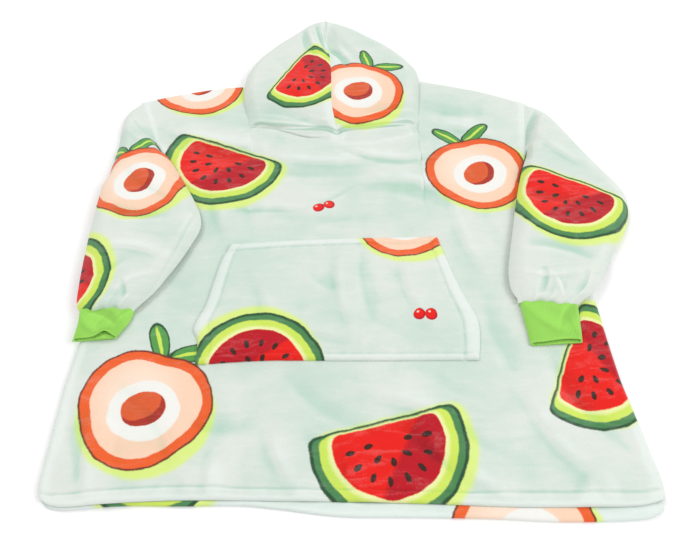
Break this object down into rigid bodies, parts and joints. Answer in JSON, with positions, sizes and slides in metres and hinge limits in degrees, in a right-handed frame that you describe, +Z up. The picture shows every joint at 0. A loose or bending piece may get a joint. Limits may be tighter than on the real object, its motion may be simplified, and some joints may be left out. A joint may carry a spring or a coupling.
{
  "type": "wearable blanket hoodie",
  "caption": "Oversized plush blanket hoodie with a seamed hood, kangaroo pocket, full sleeves and rib cuffs, laid flat on its back with the sleeves turned down.",
  "frame": {"origin": "middle of the garment's bounding box, on the surface it lies on", "axes": "+X to the right as seen from above the hem, +Y from the hem towards the hood, +Z up from the surface"},
  "size_m": [1.0514, 1.209, 0.0455],
  "materials": {
    "plush": "soft brushed plush, pale mint",
    "plush_inside": "soft brushed plush, pale mint, inner face",
    "rib_knit": "fine rib knit, lime green"
  },
  "bodies": {
    "root": {"back_panel": "plush_inside", "front_panel": "plush", "pocket": "plush", "sleeve_left": "plush", "sleeve_right": "plush", "cuff_left": "rib_knit", "cuff_right": "rib_knit", "hood_left": "plush", "hood_right": "plush"}
  },
  "joints": []
}
